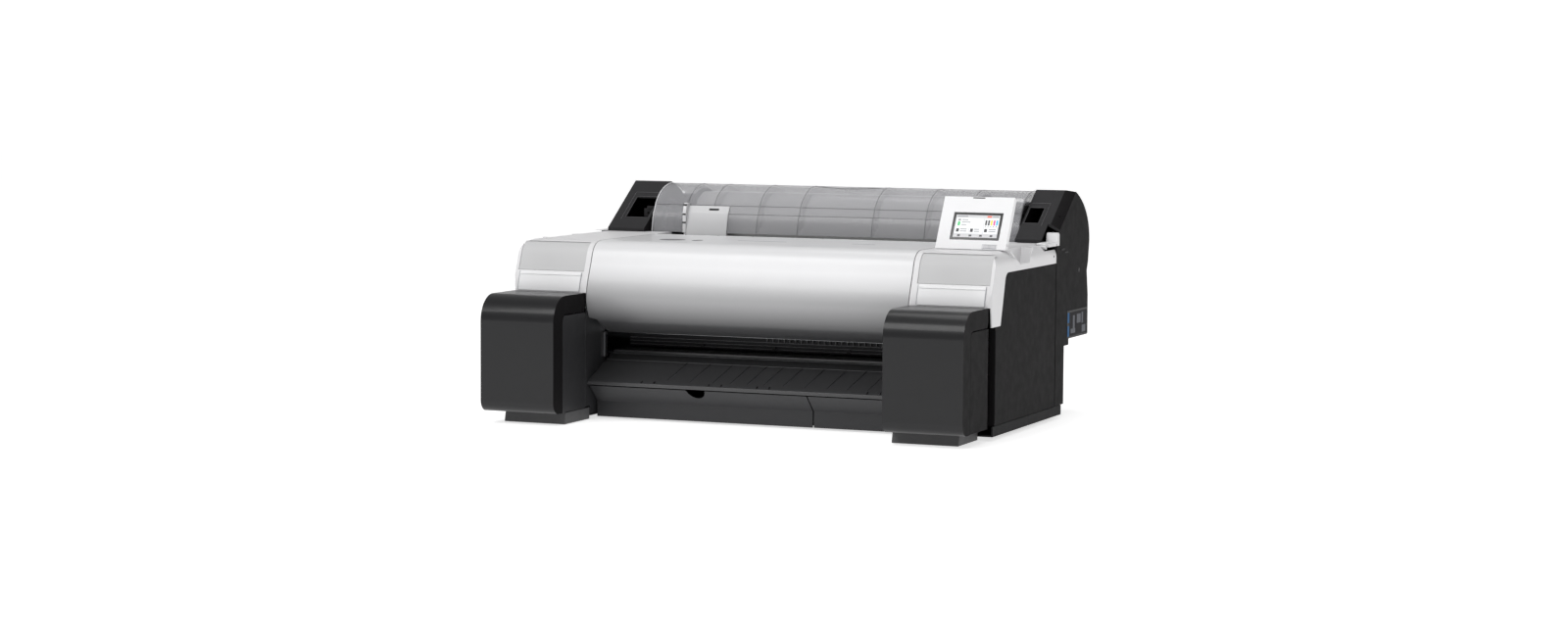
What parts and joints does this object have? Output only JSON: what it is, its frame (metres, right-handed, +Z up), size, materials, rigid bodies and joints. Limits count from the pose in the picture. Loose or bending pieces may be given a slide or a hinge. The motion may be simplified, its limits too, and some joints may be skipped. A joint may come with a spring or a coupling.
{
  "type": "large format plotter",
  "caption": "Desktop roll-fed inkjet plotter: dark ink boxes either side of a curved white cover, smoked roll cover behind, tilting touch panel on the right.",
  "frame": {"origin": "centre of the bounding box in plan, on the surface that the feet stand on", "axes": "+X to the right of a user standing in front, the front faces -Y, +Z up"},
  "size_m": [0.982, 0.757, 0.445],
  "materials": {
    "ink_dark": "satin textured",
    "side_dark": "matt textured",
    "housing_dark": "matt textured",
    "base_dark": "matt powder coat",
    "foot_dark": "matt",
    "shell_white": "satin",
    "inset_grey": "fine texture",
    "cover_white": "semi gloss",
    "cover_smoke": "clear smoked",
    "guide_black": "satin",
    "steel": "bright zinc",
    "pin_steel": "polished",
    "rubber_black": "matt",
    "roller_grey": "fine grit",
    "gear_natural": "satin",
    "carriage_black": "satin",
    "head_grey": "satin",
    "motor_zinc": "satin",
    "board_green": "solder mask",
    "supply_zinc": "satin",
    "inlet_black": "satin",
    "paper_white": "matt",
    "ink_mbk": "satin",
    "ink_bk": "satin",
    "ink_y": "satin",
    "ink_m": "satin",
    "ink_c": "satin",
    "screen_glass": "gloss",
    "button_white": "satin",
    "cartridge_dark": "satin",
    "holder_grey": "satin",
    "guide_white": "satin"
  },
  "bodies": {
    "chassis": {"base_pan": "base_dark", "feet": "foot_dark", "left_side_panel": "side_dark", "right_side_panel": "side_dark", "left_end_shell": "shell_white", "right_end_shell": "shell_white", "end_inset_panels": "inset_grey", "end_lower_panels": "shell_white", "left_roll_housing": "housing_dark", "right_roll_housing": "housing_dark", "rear_cover": "housing_dark", "rear_lower_panel": "side_dark", "left_ink_bay": "side_dark", "right_ink_bay": "side_dark", "hinge_pins": "pin_steel", "frame_plates": "steel", "inner_walls": "side_dark", "output_guide": "guide_black", "lower_front_panel": "side_dark", "platen": "guide_black", "pinch_roller_holder": "guide_black", "carriage_rail": "steel", "carriage_belt": "rubber_black", "drive_motors": "motor_zinc", "cutter_rail": "steel", "capping_station": "guide_black", "maintenance_cartridge": "cartridge_dark", "main_board": "board_green", "power_supply": "supply_zinc", "power_inlet": "inlet_black", "roll_tray": "guide_black", "cover_bridge": "steel", "ink_tank_matte_black": "ink_mbk", "ink_tank_black": "ink_bk", "ink_tank_yellow": "ink_y", "ink_tank_magenta": "ink_m", "ink_tank_cyan": "ink_c"},
    "top_cover": {"top_cover": "cover_white"},
    "roll_cover": {"roll_cover": "cover_smoke"},
    "left_ink_cover": {"left_ink_cover": "ink_dark"},
    "right_ink_cover": {"right_ink_cover": "ink_dark"},
    "control_panel": {"panel_housing": "cover_white", "touch_screen": "screen_glass"},
    "power_button": {"power_button": "button_white"},
    "release_lever": {"release_lever": "shell_white"},
    "accessory_drawer": {"accessory_drawer": "side_dark"},
    "carriage": {"carriage": "carriage_black", "print_head": "head_grey"},
    "cutter": {"cutter": "holder_grey"},
    "cutter_blade": {"cutter_blade": "pin_steel"},
    "feed_roller": {"feed_roller": "roller_grey"},
    "pinch_rollers": {"pinch_rollers": "rubber_black"},
    "feed_pinion": {"feed_pinion": "gear_natural"},
    "roll_spool": {"roll_holder": "holder_grey", "paper_roll": "paper_white"},
    "roll_pinion": {"roll_pinion": "gear_natural"},
    "drive_pulley": {"drive_pulley": "gear_natural"},
    "idler_pulley": {"idler_pulley": "gear_natural"},
    "width_guide": {"width_guide": "guide_white"}
  },
  "joints": [
    {"name": "top_cover_hinge", "type": "hinge", "parent": "chassis", "child": "top_cover", "pos_m": [0, 0.0695, 0.336], "axis": [-1, 0, 0], "range_deg": [0, 65]},
    {"name": "roll_cover_hinge", "type": "hinge", "parent": "chassis", "child": "roll_cover", "pos_m": [0, 0.3255, 0.416], "axis": [-1, 0, 0], "range_deg": [0, 80]},
    {"name": "left_ink_cover_hinge", "type": "hinge", "parent": "chassis", "child": "left_ink_cover", "pos_m": [-0.41, -0.2545, 0.235], "axis": [-1, 0, 0], "range_deg": [0, 62]},
    {"name": "right_ink_cover_hinge", "type": "hinge", "parent": "chassis", "child": "right_ink_cover", "pos_m": [0.41, -0.2545, 0.235], "axis": [-1, 0, 0], "range_deg": [0, 62]},
    {"name": "panel_tilt", "type": "hinge", "parent": "chassis", "child": "control_panel", "pos_m": [0.4115, -0.116, 0.356], "axis": [-1, 0, 0], "range_deg": [0, 30]},
    {"name": "power_button_press", "type": "slide", "parent": "control_panel", "child": "power_button", "axis": [0, 0.8678, -0.497], "range_m": [0, 0.0015], "stiffness_N_per_m": 400},
    {"name": "release_lever_lift", "type": "hinge", "parent": "chassis", "child": "release_lever", "pos_m": [0.478, 0.1075, 0.341], "axis": [1, 0, 0], "range_deg": [0, 60]},
    {"name": "drawer_slide", "type": "slide", "parent": "chassis", "child": "accessory_drawer", "axis": [0, -1, 0], "range_m": [0, 0.15]},
    {"name": "carriage_slide", "type": "slide", "parent": "chassis", "child": "carriage", "axis": [-1, 0, 0], "range_m": [0, 0.77]},
    {"name": "cutter_slide", "type": "slide", "parent": "chassis", "child": "cutter", "axis": [1, 0, 0], "range_m": [0, 0.88]},
    {"name": "cutter_blade_roll", "type": "hinge", "parent": "cutter", "child": "cutter_blade", "pos_m": [-0.442, -0.1184, 0.131], "axis": [0, 1, 0], "continuous": true},
    {"name": "feed_roller_turn", "type": "hinge", "parent": "chassis", "child": "feed_roller", "pos_m": [0, -0.0335, 0.112], "axis": [1, 0, 0], "continuous": true},
    {"name": "pinch_rollers_turn", "type": "hinge", "parent": "chassis", "child": "pinch_rollers", "pos_m": [0, -0.0335, 0.1333], "axis": [1, 0, 0], "continuous": true},
    {"name": "feed_pinion_turn", "type": "hinge", "parent": "chassis", "child": "feed_pinion", "pos_m": [-0.466, 0.0146, 0.112], "axis": [1, 0, 0], "continuous": true},
    {"name": "roll_turn", "type": "hinge", "parent": "chassis", "child": "roll_spool", "pos_m": [0, 0.2715, 0.36], "axis": [1, 0, 0], "continuous": true},
    {"name": "roll_pinion_turn", "type": "hinge", "parent": "chassis", "child": "roll_pinion", "pos_m": [-0.379, 0.2715, 0.2924], "axis": [1, 0, 0], "continuous": true},
    {"name": "drive_pulley_turn", "type": "hinge", "parent": "chassis", "child": "drive_pulley", "pos_m": [-0.452, -0.0235, 0.262], "axis": [0, 1, 0], "continuous": true},
    {"name": "idler_pulley_turn", "type": "hinge", "parent": "chassis", "child": "idler_pulley", "pos_m": [0.462, -0.0235, 0.262], "axis": [0, 1, 0], "continuous": true},
    {"name": "width_guide_slide", "type": "slide", "parent": "roll_cover", "child": "width_guide", "axis": [1, 0, 0], "range_m": [0, 0.25]}
  ],
  "couplings": [
    {"joint": "cutter_blade_roll", "follows": "cutter_slide", "rad_per_m": 100},
    {"joint": "pinch_rollers_turn", "follows": "feed_roller_turn", "ratio": -2.5},
    {"joint": "feed_pinion_turn", "follows": "feed_roller_turn", "ratio": -1.6667},
    {"joint": "roll_pinion_turn", "follows": "roll_turn", "ratio": -2},
    {"joint": "drive_pulley_turn", "follows": "carriage_slide", "rad_per_m": 90.909},
    {"joint": "idler_pulley_turn", "follows": "carriage_slide", "rad_per_m": 90.909}
  ]
}
